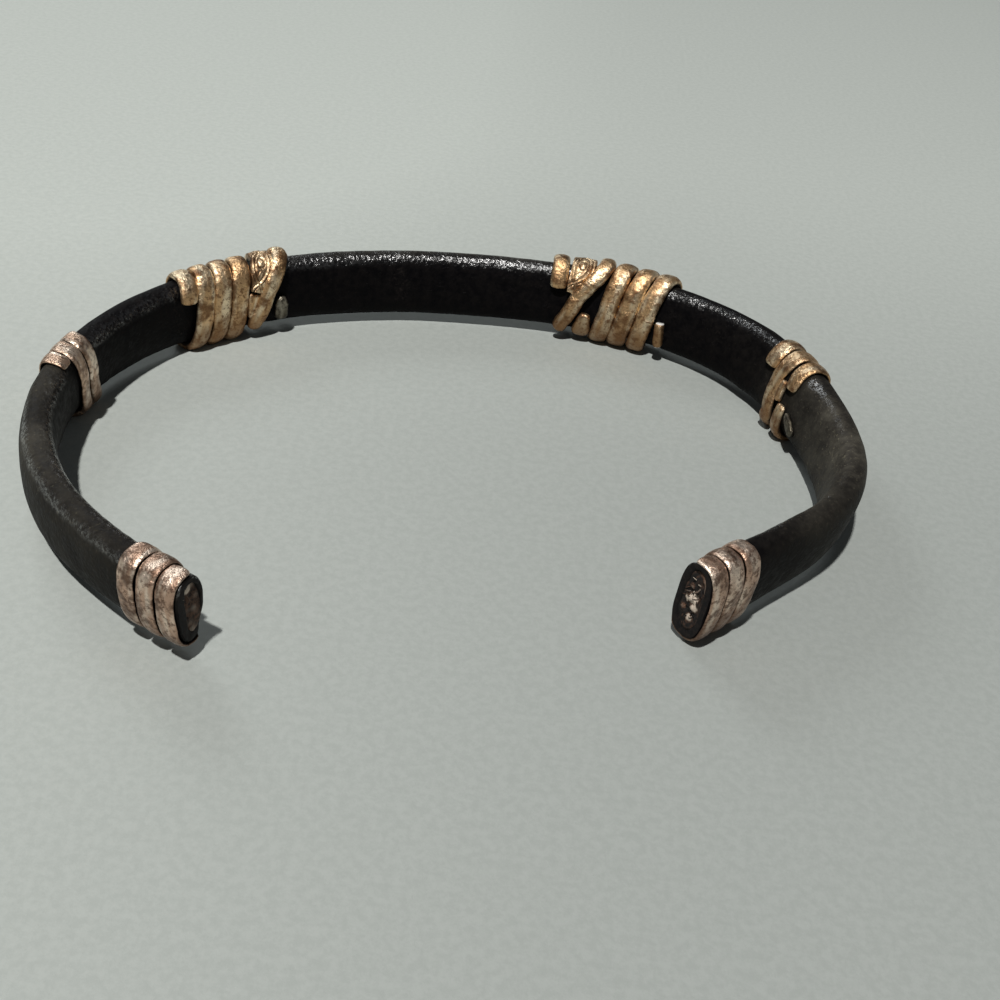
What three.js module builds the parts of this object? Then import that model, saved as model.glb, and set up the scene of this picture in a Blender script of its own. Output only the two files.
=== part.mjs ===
// Open cuff bracelet, lying on its side with its opening towards -Y.
// A hollow leather sleeve covers a dark core. Flattened wire and two stamped strips bind it in six places.
// Millimetres, +Z up, the cuff resting on z = 0. Distances run along the band from the left tip.
// Angles go round the band's section: 0 outer face, 90 top edge, 180 inner face, 270 underside.
import * as THREE from "three";

// Leather band
const bandLength = 152.4;
const bandHeight = 6.15;
const bandThickness = 2.7;
const ovalPower = 2.7; // 2 is an ellipse, a larger number is squarer
const leatherWall = 1.0;
const leftTipHeading = 155.5; // degrees from +X, the way the band leaves the left tip
const notchDepth = 0.45; // torn out of the left cut face, on its inner side
const coreClearance = 0.15;
const coreRecess = 0.5; // from each cut face to the core's end

// Bound wire
const wireWidth = 1.65;
const wireThickness = 0.8;
const wireSpacing = 0.25; // between neighbouring turns
const seatClearance = 0.2; // between the leather and what is bound round it
const restingWear = 0.14; // worn off the wire's underside, where the cuff lies
const tipSetback = 0.1; // from each cut face to the nearest turn
const tipShare = 0.88; // the width of the wire bound near the tips

// Stamped strips
const stripWidth = 2;
const stripThickness = 0.45;
const reliefHeight = 0.22;
const loopLength = 2.6; // one stamped loop, along the strip
const loopSpread = 0.62; // a loop's half width, as a share of the strip's
const ridgeWidth = 0.34; // a loop's raised line
const bossRadius = 0.45;
const rimSpread = 0.2; // the raised rim, as a share of the strip's half width

// Fineness of the faceted solids
const bandStations = 48;
const ovalSides = 24;
const wireStep = 15; // degrees
const stripStep = 7.5; // degrees
const stripColumns = 12;
const tailStations = 6;

// The band's middle line: equal stretches from the left tip, each an arc that turns clockwise from above.
const bends = [
  { turn: 20 },
  { turn: 30.5 },
  { turn: 28.5 },
  { turn: 28 },
  { turn: 22.5 },
  { turn: 17.5 },
  { turn: 10.5 },
  { turn: 29 },
  { turn: 37 },
  { turn: 19 },
  { turn: 47 },
  { turn: 3 },
];

// The lean of the section, in degrees: positive tips its top edge away from the wrist.
const leans = [
  { place: 0, degrees: 6 },
  { place: 0.25, degrees: -8 },
  { place: 0.5, degrees: 11 },
  { place: 0.75, degrees: 18 },
  { place: 1, degrees: 4 },
];

// The height of the section: its top edge stays level, and its underside rises to the left tip.
const heights = [
  { place: 0, share: 0.86 },
  { place: 0.09, share: 1 },
  { place: 1, share: 1 },
];

// The wire's section: corners as shares of its width and thickness, from its inner side.
const wireCorners = [
  { across: 0.5, proud: 0.3 },
  { across: 0.5, proud: 0.7 },
  { across: 0.3, proud: 1 },
  { across: -0.3, proud: 1 },
  { across: -0.5, proud: 0.7 },
  { across: -0.5, proud: 0.3 },
  { across: -0.3, proud: 0 },
  { across: 0.3, proud: 0 },
];

// The six bindings. share scales the wire's width and pitch, and flat its thickness away from the underside.
const bindings = {
  leftTip: { at: tipSetback + (tipShare * wireWidth) / 2, share: tipShare, flat: 0.36 },
  leftSide: { at: 0.2193 * bandLength, share: 0.9, flat: 0.38 },
  backLeft: { at: 0.3547 * bandLength, share: 1.02, flat: 0.7 },
  backRight: { at: 0.6247 * bandLength, share: 1.08, flat: 1 },
  rightSide: { at: 0.7471 * bandLength, share: 1.05, flat: 0.5 },
  rightTip: { at: bandLength - tipSetback - (tipShare * wireWidth) / 2, share: tipShare, flat: 0.36 },
};

// Wound wires. first is the place of the start and perTurn the advance, in turns of the binding.
// The advance is spread over span degrees round the angle stepAt.
// tilt leans the turns, most at the angle tiltAt.
const windings = [
  {
    name: "left_tip_winding",
    binding: "leftTip",
    from: 215,
    to: 875,
    first: 2,
    perTurn: -1,
    stepAt: 180,
    span: 60,
  },
  {
    name: "left_tip_end_coil",
    binding: "leftTip",
    from: 258,
    to: 490,
    first: 0,
    perTurn: 0,
    stepAt: 180,
    span: 60,
  },
  {
    name: "left_side_winding",
    binding: "leftSide",
    from: -20,
    to: 838,
    first: 1.54,
    perTurn: -1.04,
    stepAt: 285,
    span: 90,
    tilt: 0.7,
    tiltAt: 300,
  },
  {
    name: "back_left_winding",
    binding: "backLeft",
    from: -60,
    to: 1238,
    first: 0.88,
    perTurn: -1,
    stepAt: 0,
    span: 360,
    tilt: 0.1,
    tiltAt: 90,
  },
  {
    name: "back_right_winding",
    binding: "backRight",
    from: 30,
    to: 1010,
    first: 1.22,
    perTurn: -1,
    stepAt: 0,
    span: 360,
    tilt: 0.18,
    tiltAt: 90,
  },
  {
    name: "right_tip_winding",
    binding: "rightTip",
    from: 245,
    to: 1190,
    first: -2,
    perTurn: 1,
    stepAt: 215,
    span: 50,
  },
];

// Wires that follow rows of their own.
// along is in turns of the binding, wide in wire widths, thick in wire thicknesses.
const laidWires = [
  {
    name: "back_left_crossing_wire",
    binding: "backLeft",
    thick: 1,
    rows: [
      { angle: -40, along: 3, wide: 0.86 },
      { angle: 60, along: 2.78, wide: 0.86 },
      { angle: 102, along: 2.67, wide: 0.84 },
      { angle: 135, along: 2.36, wide: 0.82 },
      { angle: 163, along: 1.95, wide: 0.8 },
      { angle: 183, along: 1.55, wide: 0.8 },
      { angle: 210, along: 1.12, wide: 0.8 },
      { angle: 230, along: 0.97, wide: 0.8 },
    ],
  },
  {
    name: "back_left_tail_wire",
    binding: "backLeft",
    thick: 0.8,
    rows: [
      { angle: 154, along: 2.72, wide: 0.24 },
      { angle: 170, along: 2.62, wide: 0.44 },
      { angle: 186, along: 2.52, wide: 0.76 },
      { angle: 216, along: 2.48, wide: 0.76 },
    ],
  },
  {
    name: "back_left_tongue",
    binding: "backLeft",
    thick: 0.6,
    rows: [
      { angle: 176, along: 0.965, wide: 0.38 },
      { angle: 190, along: 0.82, wide: 0.2 },
      { angle: 197, along: 0.77, wide: 0.14 },
    ],
  },
  {
    name: "back_right_flat_coil",
    binding: "backRight",
    thick: 0.85,
    rows: [
      { angle: -40, along: -3.85, wide: 0.92 },
      { angle: 168, along: -3.91, wide: 0.92 },
    ],
  },
  {
    name: "back_right_crossing_wire",
    binding: "backRight",
    thick: 1.2,
    rows: [
      { angle: -10, along: -1.84, wide: 0.84 },
      { angle: 60, along: -1.76, wide: 0.84 },
      { angle: 106, along: -1.74, wide: 0.84 },
      { angle: 139, along: -2.05, wide: 0.84 },
      { angle: 166, along: -2.56, wide: 0.84 },
      { angle: 184, along: -3.04, wide: 0.84 },
      { angle: 214, along: -3.48, wide: 0.84 },
      { angle: 236, along: -3.68, wide: 0.84 },
    ],
  },
  {
    name: "back_right_ridged_end",
    binding: "backRight",
    thick: 0.8,
    rows: [
      { angle: 196, along: -2.4, wide: 0.48 },
      { angle: 206, along: -2.42, wide: 0.64 },
      { angle: 226, along: -2.49, wide: 0.8 },
      { angle: 248, along: -2.52, wide: 0.82 },
    ],
  },
  {
    name: "back_right_stub",
    binding: "backRight",
    thick: 1,
    rows: [
      { angle: 183, along: 1.6, wide: 0.54 },
      { angle: 226, along: 1.72, wide: 0.54 },
    ],
  },
  {
    name: "right_side_winding",
    binding: "rightSide",
    thick: 0.5,
    rows: [
      { angle: 168, along: -0.74, wide: 1 },
      { angle: 90, along: -0.76, wide: 1 },
      { angle: 0, along: -0.72, wide: 1 },
      { angle: -60, along: -0.3, wide: 0.9 },
      { angle: -100, along: 0.26, wide: 0.84 },
      { angle: -132, along: 0.56, wide: 0.84 },
      { angle: -160, along: 0.34, wide: 0.9 },
      { angle: -190, along: 0.12, wide: 0.96 },
      { angle: -213, along: 0.24, wide: 1 },
      { angle: -270, along: 0.32, wide: 1 },
      { angle: -345, along: 0.34, wide: 1 },
    ],
  },
  {
    name: "right_side_end_coil",
    binding: "rightSide",
    thick: 0.5,
    rows: [
      { angle: 172, along: 1.4, wide: 0.9 },
      { angle: 146, along: 1.3, wide: 1 },
      { angle: 90, along: 1.34, wide: 1 },
      { angle: 0, along: 1.38, wide: 1 },
      { angle: -90, along: 1.5, wide: 0.8 },
      { angle: -130, along: 1.5, wide: 0.72 },
      { angle: -169, along: 1.52, wide: 0.66 },
    ],
  },
  {
    name: "right_side_tab",
    binding: "rightSide",
    thick: 0.6,
    rows: [
      { angle: 173, along: 0.79, wide: 0.3 },
      { angle: 182, along: 0.85, wide: 0.32 },
      { angle: 190, along: 0.93, wide: 0.34 },
    ],
  },
  {
    name: "right_side_tail",
    binding: "rightSide",
    thick: 0.6,
    rows: [
      { angle: 199, along: 2.28, wide: 0.5 },
      { angle: 204, along: 2.7, wide: 0.5 },
      { angle: 211, along: 3.15, wide: 0.45 },
    ],
  },
];

// Stamped strips. along is in turns of the binding, wide in strip widths.
const strips = [
  {
    name: "back_left_strip",
    binding: "backLeft",
    rows: [
      { angle: -40, along: 1.9, wide: 0.9 },
      { angle: 60, along: 1.8, wide: 0.9 },
      { angle: 97, along: 1.73, wide: 0.88 },
      { angle: 128, along: 1.43, wide: 0.74 },
      { angle: 142, along: 1.32, wide: 0.62 },
      { angle: 156, along: 1.21, wide: 0.48 },
      { angle: 168, along: 1.12, wide: 0.34 },
    ],
  },
  {
    name: "back_right_strip",
    binding: "backRight",
    rows: [
      { angle: -40, along: -2.8, wide: 1.08 },
      { angle: 100, along: -2.83, wide: 1.04 },
      { angle: 122, along: -2.96, wide: 0.88 },
      { angle: 138, along: -3.1, wide: 0.68 },
      { angle: 153, along: -3.22, wide: 0.46 },
      { angle: 164, along: -3.27, wide: 0.3 },
    ],
  },
];

const leatherUnderside = seatClearance + wireThickness - restingWear;
const turnPitch = wireWidth + wireSpacing;
const upAxis = new THREE.Vector3(0, 0, 1);

function radians(degrees) {
  return (degrees * Math.PI) / 180;
}

// A smooth step from 0 to 1.
function ease(x) {
  const t = Math.min(1, Math.max(0, x));
  return t * t * (3 - 2 * t);
}

// Reads a column of a table between its rows, with key as the running column.
function lookUp(table, key, column, value) {
  const rising = table[table.length - 1][key] > table[0][key] ? 1 : -1;
  let next = 1;
  while (next < table.length - 1 && rising * (value - table[next][key]) > 0) next += 1;
  const low = table[next - 1];
  const high = table[next];
  const share = Math.min(1, Math.max(0, (value - low[key]) / (high[key] - low[key])));
  return low[column] + share * (high[column] - low[column]);
}

// The middle line in plan: tangent arcs laid end to end.
function middleLine(distance) {
  const stretch = bandLength / bends.length;
  let x = 0;
  let y = 0;
  let heading = radians(leftTipHeading);
  let left = distance;
  for (let i = 0; i < bends.length; i += 1) {
    const length = i === bends.length - 1 ? left : Math.min(left, stretch);
    const turn = (radians(bends[i].turn) * length) / stretch;
    const chord = turn === 0 ? length : (length * Math.sin(turn / 2)) / (turn / 2);
    x += chord * Math.cos(heading - turn / 2);
    y += chord * Math.sin(heading - turn / 2);
    heading -= turn;
    left -= length;
    if (left <= 0) break;
  }
  return { x, y, heading };
}

// The section's place, axes and half sizes at a distance from the left tip.
function bandFrame(distance) {
  const { x, y, heading } = middleLine(distance);
  const place = distance / bandLength;
  const lean = radians(lookUp(leans, "place", "degrees", place));
  const height = bandHeight * lookUp(heights, "place", "share", place);
  const level = new THREE.Vector3(-Math.sin(heading), Math.cos(heading), 0);
  return {
    centre: new THREE.Vector3(x, y, leatherUnderside + bandHeight - height / 2),
    outward: level.clone().multiplyScalar(Math.cos(lean)).addScaledVector(upAxis, -Math.sin(lean)),
    up: level.clone().multiplyScalar(Math.sin(lean)).addScaledVector(upAxis, Math.cos(lean)),
    halfThickness: bandThickness / 2,
    halfHeight: height / 2,
  };
}

function signedPower(value, power) {
  return Math.sign(value) * Math.abs(value) ** power;
}

// A point inset from the oval's edge, in space.
function ovalPoint(frame, angle, inset) {
  const out = (frame.halfThickness - inset) * signedPower(Math.cos(radians(angle)), 2 / ovalPower);
  const rise = (frame.halfHeight - inset) * signedPower(Math.sin(radians(angle)), 2 / ovalPower);
  return frame.centre.clone().addScaledVector(frame.outward, out).addScaledVector(frame.up, rise);
}

// The leather's surface normal at an angle.
function ovalNormal(frame, angle) {
  const power = 2 - 2 / ovalPower;
  const out = signedPower(Math.cos(radians(angle)), power) / frame.halfThickness;
  const rise = signedPower(Math.sin(radians(angle)), power) / frame.halfHeight;
  return frame.outward.clone().multiplyScalar(out).addScaledVector(frame.up, rise).normalize();
}

// A closed geometry from points and triangles.
function solid(points, triangles) {
  const geometry = new THREE.BufferGeometry();
  geometry.setAttribute("position", new THREE.Float32BufferAttribute(points.flatMap((p) => p.toArray()), 3));
  geometry.setIndex(triangles);
  geometry.computeVertexNormals();
  return geometry;
}

// Triangles between rings of the same number of points, facing out, or in when turned.
function wallTriangles(rings, sides, first, turned) {
  const triangles = [];
  for (let i = 0; i < rings - 1; i += 1) {
    for (let k = 0; k < sides; k += 1) {
      const a = first + i * sides + k;
      const b = first + i * sides + ((k + 1) % sides);
      const quad = [a, b, b + sides, a, b + sides, a + sides];
      triangles.push(...(turned ? quad.reverse() : quad));
    }
  }
  return triangles;
}

// A solid bar through rings of points, closed by a fan at each end.
function loft(rings) {
  const sides = rings[0].length;
  const points = rings.flat();
  const triangles = wallTriangles(rings.length, sides, 0, false);
  [rings[0], rings[rings.length - 1]].forEach((ring, end) => {
    const hub = points.length;
    const first = end === 0 ? 0 : (rings.length - 1) * sides;
    points.push(ring.reduce((sum, p) => sum.add(p), new THREE.Vector3()).divideScalar(sides));
    for (let k = 0; k < sides; k += 1) {
      const a = first + k;
      const b = first + ((k + 1) % sides);
      triangles.push(...(end === 0 ? [hub, b, a] : [hub, a, b]));
    }
  });
  return solid(points, triangles);
}

// The sleeve: an open-ended oval tube, its left cut face torn on the inner side.
function leatherSleeve() {
  const angles = Array.from({ length: ovalSides }, (_, k) => (360 * k) / ovalSides);
  const ring = (station, inset) =>
    angles.map((angle) => {
      const torn = station === 0 ? notchDepth * ease(1 - Math.abs(angle - 222) / 60) : 0;
      return ovalPoint(bandFrame((bandLength * station) / bandStations + torn), angle, inset);
    });
  const stations = Array.from({ length: bandStations + 1 }, (_, i) => i);
  const outer = stations.flatMap((i) => ring(i, 0));
  const inner = stations.flatMap((i) => ring(i, leatherWall));
  const rings = stations.length;
  const triangles = wallTriangles(rings, ovalSides, 0, false);
  triangles.push(...wallTriangles(rings, ovalSides, outer.length, true));
  for (let k = 0; k < ovalSides; k += 1) {
    const next = (k + 1) % ovalSides;
    [0, (rings - 1) * ovalSides].forEach((row, end) => {
      const [a, b] = [row + k, row + next];
      const [c, d] = [a + outer.length, b + outer.length];
      triangles.push(...(end === 0 ? [a, c, d, a, d, b] : [a, d, c, a, b, d]));
    });
  }
  return solid([...outer, ...inner], triangles);
}

// The core: a flat bar that fills the sleeve, short of its cut faces.
function core() {
  const inset = leatherWall + coreClearance;
  const sides = ovalSides / 2;
  const rings = Array.from({ length: bandStations + 1 }, (_, i) => {
    const distance = Math.min(bandLength - coreRecess, Math.max(coreRecess, (bandLength * i) / bandStations));
    const frame = bandFrame(distance);
    return Array.from({ length: sides }, (_, k) => ovalPoint(frame, (360 * k) / sides, inset));
  });
  return loft(rings);
}

// The angles at which a bound piece has a ring: its ends, and each step between them.
function ringAngles(from, to, step) {
  const way = Math.sign(to - from);
  const angles = [from];
  let angle = way > 0 ? Math.floor(from / step + 1) * step : Math.ceil(from / step - 1) * step;
  while (way * (to - angle) > 0) {
    if (Math.abs(angle - from) > step / 4 && Math.abs(to - angle) > step / 4) angles.push(angle);
    angle += way * step;
  }
  angles.push(to);
  return angles;
}

// Rings of a bound piece. spots give distance and angle, and corners each spot's section.
function boundRings(spots, corners) {
  const seats = spots.map(({ distance, angle }) => {
    const frame = bandFrame(distance);
    const normal = ovalNormal(frame, angle);
    return { normal, point: ovalPoint(frame, angle, 0).addScaledVector(normal, seatClearance) };
  });
  let travelled = 0;
  return seats.map(({ normal, point }, i) => {
    const before = seats[Math.max(0, i - 1)].point;
    const after = seats[Math.min(seats.length - 1, i + 1)].point;
    const tangent = after.clone().sub(before);
    const side = normal.clone().cross(tangent).normalize();
    travelled += point.distanceTo(before);
    return corners(spots[i], travelled).map(({ across, proud }) => {
      const corner = point.clone().addScaledVector(side, across).addScaledVector(normal, proud);
      corner.z = Math.max(0, corner.z);
      return corner;
    });
  });
}

// The thickness of wire at an angle: flattened by share, but whole on the underside.
function thicknessAt(angle, share) {
  const under = Math.max(0, -Math.sin(radians(angle))) ** 2;
  return wireThickness * (share + Math.max(0, 1 - share) * under);
}

function wireRings(spots) {
  return boundRings(spots, (spot) =>
    wireCorners.map(({ across, proud }) => ({ across: across * spot.width, proud: proud * spot.thickness })),
  );
}

// How many turns the advance has made at an angle, spread over span degrees round each stepAt.
function stepsMade(angle, stepAt, span) {
  const turns = (angle - stepAt) / 360 + 0.5;
  const whole = Math.floor(turns);
  const part = ((turns - whole - 0.5) * 360) / span + 0.5;
  return whole + Math.min(1, Math.max(0, part));
}

function windingRings({ binding, from, to, first, perTurn, stepAt, span, tilt = 0, tiltAt = 0 }) {
  const { at, share, flat } = bindings[binding];
  const start = stepsMade(from, stepAt, span);
  const spots = ringAngles(from, to, wireStep).map((angle) => {
    const turns = first + perTurn * (stepsMade(angle, stepAt, span) - start);
    const leaning = tilt * Math.cos(radians(angle - tiltAt));
    return {
      angle,
      distance: at + (turns + leaning) * turnPitch * share,
      width: wireWidth * share,
      thickness: thicknessAt(angle, flat),
    };
  });
  return wireRings(spots);
}

function laidRings({ binding, thick, rows }) {
  const { at, share } = bindings[binding];
  const [from, to] = [rows[0].angle, rows[rows.length - 1].angle];
  const tail = Array.from({ length: tailStations }, (_, i) => from + ((to - from) * i) / (tailStations - 1));
  const angles = Math.abs(to - from) < 3 * wireStep ? tail : ringAngles(from, to, wireStep);
  const spots = angles.map((angle) => ({
    angle,
    distance: at + lookUp(rows, "angle", "along", angle) * turnPitch * share,
    width: lookUp(rows, "angle", "wide", angle) * wireWidth,
    thickness: thicknessAt(angle, thick),
  }));
  return wireRings(spots);
}

// The stamped relief of a strip: a chain of pointed loops, a boss inside each, between raised rims.
// across runs from -1 to 1 over the strip, and along is in millimetres.
function relief(across, along) {
  const phase = along / loopLength - Math.floor(along / loopLength);
  const halfLoop = loopSpread * Math.sin(Math.PI * phase) ** 0.75;
  const line = 1 - Math.abs(Math.abs(across) - halfLoop) / ((2 * ridgeWidth) / stripWidth);
  const boss = 1 - Math.hypot((across * stripWidth) / 2, (phase - 0.5) * loopLength) / bossRadius;
  const rim = 1 - (1 - Math.abs(across)) / rimSpread;
  return reliefHeight * Math.max(0, line, boss, rim);
}

function stripRings({ binding, rows }) {
  const { at, share } = bindings[binding];
  const spots = ringAngles(rows[0].angle, rows[rows.length - 1].angle, stripStep).map((angle) => ({
    angle,
    distance: at + lookUp(rows, "angle", "along", angle) * turnPitch * share,
    half: (stripWidth * lookUp(rows, "angle", "wide", angle)) / 2,
  }));
  return boundRings(spots, ({ half }, travelled) => {
    const top = Array.from({ length: stripColumns + 1 }, (_, j) => {
      const across = 1 - (2 * j) / stripColumns;
      return { across: across * half, proud: stripThickness + relief(across, travelled) };
    });
    return [{ across: half, proud: 0 }, ...top, { across: -half, proud: 0 }];
  });
}

// Finishes
const leather = { color: 0x1b1a1a, roughness: 0.5, metalness: 0 };
const fibre = { color: 0x35251c, roughness: 0.95, metalness: 0 };
const agedMetal = { color: 0xa98e72, roughness: 0.42, metalness: 0.85 };
const stampedMetal = { color: 0xb89b78, roughness: 0.45, metalness: 0.85 };

const cuff = new THREE.Group();

function add(name, geometry, finish) {
  const mesh = new THREE.Mesh(geometry, new THREE.MeshStandardMaterial(finish));
  mesh.name = name;
  cuff.add(mesh);
}

add("leather_sleeve", leatherSleeve(), leather);
add("core", core(), fibre);
windings.forEach((row) => add(row.name, loft(windingRings(row)), agedMetal));
laidWires.forEach((row) => add(row.name, loft(laidRings(row)), agedMetal));
strips.forEach((row) => add(row.name, loft(stripRings(row)), stampedMetal));

// The origin is under the middle of the cuff's box, on the surface that it lies on.
const middle = new THREE.Box3().setFromObject(cuff).getCenter(new THREE.Vector3());
cuff.position.set(-middle.x, -middle.y, 0);

export default cuff;
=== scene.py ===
import math

import bpy
import numpy as np
from mathutils import Matrix, Vector, noise


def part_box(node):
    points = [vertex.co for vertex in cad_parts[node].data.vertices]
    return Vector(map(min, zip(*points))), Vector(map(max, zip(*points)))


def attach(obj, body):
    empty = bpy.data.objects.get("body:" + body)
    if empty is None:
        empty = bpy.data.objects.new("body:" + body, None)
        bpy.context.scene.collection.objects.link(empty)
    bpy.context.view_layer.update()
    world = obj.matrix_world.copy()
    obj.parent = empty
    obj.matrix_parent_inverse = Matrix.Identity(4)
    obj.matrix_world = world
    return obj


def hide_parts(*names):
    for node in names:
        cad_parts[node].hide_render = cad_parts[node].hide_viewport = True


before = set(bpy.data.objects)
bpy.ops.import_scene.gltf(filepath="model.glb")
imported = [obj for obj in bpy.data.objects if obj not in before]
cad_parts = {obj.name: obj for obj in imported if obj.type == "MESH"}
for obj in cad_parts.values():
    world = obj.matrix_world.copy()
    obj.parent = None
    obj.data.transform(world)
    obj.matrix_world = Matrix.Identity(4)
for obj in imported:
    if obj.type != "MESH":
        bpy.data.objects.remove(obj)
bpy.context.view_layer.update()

MM = 0.001

# Leather band
BAND_LENGTH = 152.4
BAND_HEIGHT = 6.15
BAND_THICKNESS = 2.7
OVAL_POWER = 2.7
LEATHER_WALL = 1.0
LEFT_TIP_HEADING = 155.5
NOTCH_DEPTH = 0.45
CUT_ROUNDING = 0.13  # the radius of the leather's cut edges

# Cut ends. FACE_WALL is the leather's thickness at a cut, and lean how much it grows to the outer side.
# flare is how far the leather spreads over its last coil, and recess how deep the core lies behind the cut.
# clumps of fibre have shares of the half thickness and half height, then a radius in millimetres and a tone.
# roughness is the core's, tone its colour from 0 dark to 1 cream, speckle how much the tone varies, and
# fibres the number of loose ones.
FACE_WALL = 0.58
LEFT_END = dict(
    lean=0.28, flare=0, recess=0.22, roughness=0.05, tone=0.42, speckle=0, fibres=8,
    clumps=[(0.0, 0.66, 0.36, 0.95), (0.05, -0.72, 0.34, 0.6)],
)
RIGHT_END = dict(
    lean=0.06, flare=0.26, recess=0.14, roughness=0.17, tone=0.1, speckle=0.35, fibres=42,
    clumps=[
        (0.02, 0.08, 0.4, 1.0), (0.22, -0.16, 0.3, 0.95), (-0.36, -0.04, 0.24, 0.9), (0.1, -0.5, 0.32, 0.8),
        (0.12, 0.55, 0.16, 0.8), (-0.28, 0.36, 0.2, 0.55), (-0.45, -0.3, 0.2, 0.5),
    ],
)
CORE_CLEARANCE = 0.02  # between the core and the sleeve

# Bound wire and stamped strips
WIRE_WIDTH = 1.65
WIRE_THICKNESS = 0.8
WIRE_SPACING = 0.25
SEAT_CLEARANCE = 0.2
RESTING_WEAR = 0.14
TIP_SETBACK = 0.1
TIP_SHARE = 0.88
STRIP_WIDTH = 2.0
STRIP_THICKNESS = 0.45
RELIEF_HEIGHT = 0.2
LOOP_LENGTH = 3.0
LEATHER_UNDERSIDE = SEAT_CLEARANCE + WIRE_THICKNESS - RESTING_WEAR
TURN_PITCH = WIRE_WIDTH + WIRE_SPACING
CONTACT = 0.03  # left between the leather and what is bound round it
WIRE_SWELL = 1.06  # the worn wire's width against the solid's

# Twelve equal stretches of the band from its left tip, each an arc, in degrees of clockwise turn.
BENDS = [20, 30.5, 28.5, 28, 22.5, 17.5, 10.5, 29, 37, 19, 47, 3]

# Shares of the band's length against the lean of its top edge away from the wrist, in degrees.
LEANS = [(0, 6), (0.25, -8), (0.5, 11), (0.75, 18), (1, 4)]

# Shares of the band's length against its share of the full height.
HEIGHTS = [(0, 0.86), (0.09, 1), (1, 1)]

# at is the binding's place from the left tip, share scales its width and pitch,
# and flat its thickness away from the underside.
# under is the thickness there, where it isn't the whole one, and seat the wire's clearance from the leather.
TIP_COIL = TIP_SETBACK + TIP_SHARE * WIRE_WIDTH / 2
BINDINGS = {
    "left_tip": dict(at=TIP_COIL, share=TIP_SHARE, flat=0.36, under=0.4, seat=0.1),
    "left_side": dict(at=0.2193 * BAND_LENGTH, share=0.9, flat=0.38, seat=0.08),
    "back_left": dict(at=0.3547 * BAND_LENGTH, share=1.02, flat=0.7),
    "back_right": dict(at=0.6247 * BAND_LENGTH, share=1.08, flat=1),
    "right_side": dict(at=0.7471 * BAND_LENGTH, share=1.05, flat=0.5, seat=0.12),
    "right_tip": dict(at=BAND_LENGTH - TIP_COIL, share=TIP_SHARE, flat=0.36, under=0.62, seat=0.1),
}

# Wound wires. ends are the angles from and to, first the place of the start and turn the advance a turn.
# The advance is spread over span degrees round the angle step.
# tilt leans the turns, most at the angle tilt_at, and pinch narrows the wire on the inner side.
WINDINGS = [
    dict(node="left_tip_winding", binding="left_tip", ends=(215, 875), first=2, turn=-1, step=180, span=60),
    dict(node="left_tip_end_coil", binding="left_tip", ends=(258, 464), first=0, turn=0, step=180, span=60),
    dict(node="left_side_winding", binding="left_side", ends=(-20, 838), first=1.54, turn=-1.04, step=285,
         span=90, tilt=0.7, tilt_at=300, pinch=0.16),
    dict(node="back_left_winding", binding="back_left", ends=(-60, 1238), first=0.88, turn=-1, step=0,
         span=360, tilt=0.1, tilt_at=90),
    dict(node="back_right_winding", binding="back_right", ends=(30, 1010), first=1.22, turn=-1, step=0,
         span=360, tilt=0.18, tilt_at=90),
    dict(node="right_tip_winding", binding="right_tip", ends=(245, 1190), first=-2, turn=1, step=215,
         span=50),
]

# Wires laid through rows of (angle, place in turns of the binding, share of the wire's width).
# thick is the share of the wire's thickness, metal a colour unlike the binding's, and bare a fresh cut whose
# near-white colour is a painted glint.
LAID_WIRES = [
    dict(node="back_left_crossing_wire", binding="back_left", thick=1, rows=[
        (-40, 3, 0.86), (60, 2.76, 0.94), (102, 2.64, 0.94), (135, 2.34, 0.92), (163, 1.93, 0.9),
        (183, 1.54, 0.9), (210, 1.1, 0.88), (230, 0.97, 0.84)]),
    dict(node="back_left_tail_wire", binding="back_left", thick=0.7, metal="dull", rows=[
        (180, 2.56, 0.5), (188, 2.52, 0.72), (216, 2.48, 0.76)]),
    dict(node="back_left_tongue", binding="back_left", thick=0.6, rows=[
        (172, 1.06, 0.78), (182, 0.93, 0.58), (192, 0.84, 0.4), (202, 0.76, 0.24)]),
    dict(node="back_right_flat_coil", binding="back_right", thick=0.85, rows=[
        (-40, -3.85, 0.96), (168, -3.91, 0.96)]),
    dict(node="back_right_crossing_wire", binding="back_right", thick=1.2, rows=[
        (-10, -1.82, 0.88), (60, -1.74, 0.92), (106, -1.7, 0.94), (139, -2.03, 0.94), (166, -2.56, 0.92),
        (184, -3.04, 0.92), (214, -3.48, 0.9), (236, -3.68, 0.88)]),
    dict(node="back_right_ridged_end", binding="back_right", thick=0.8, rows=[
        (196, -2.36, 0.62), (206, -2.4, 0.84), (226, -2.47, 1.02), (248, -2.5, 1.04)]),
    dict(node="back_right_stub", binding="back_right", thick=1, bare_and_glint=1, rows=[
        (183, 1.6, 0.56), (226, 1.72, 0.56)]),
    dict(node="right_side_winding", binding="right_side", thick=0.5, rows=[
        (168, -0.74, 1), (90, -0.76, 1), (0, -0.72, 1), (-60, -0.3, 0.9), (-100, 0.26, 0.84),
        (-132, 0.56, 0.84), (-160, 0.34, 0.9), (-190, 0.12, 0.96), (-213, 0.24, 1), (-270, 0.32, 1),
        (-345, 0.34, 1)]),
    dict(node="right_side_end_coil", binding="right_side", thick=0.5, rows=[
        (172, 1.4, 0.9), (146, 1.3, 1), (90, 1.34, 1), (0, 1.38, 1), (-90, 1.5, 0.8), (-130, 1.5, 0.78),
        (-170, 1.46, 0.74)]),
    dict(node="right_side_tab", binding="right_side", thick=0.6, rows=[
        (168, 0.8, 0.4), (180, 0.87, 0.5), (191, 0.98, 0.54)]),
    dict(node="right_side_tail", binding="right_side", thick=0.45, metal="dull", rows=[
        (192, 2.1, 0.3), (199, 2.34, 0.5), (204, 2.7, 0.56), (211, 3.15, 0.45)]),
]

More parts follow.
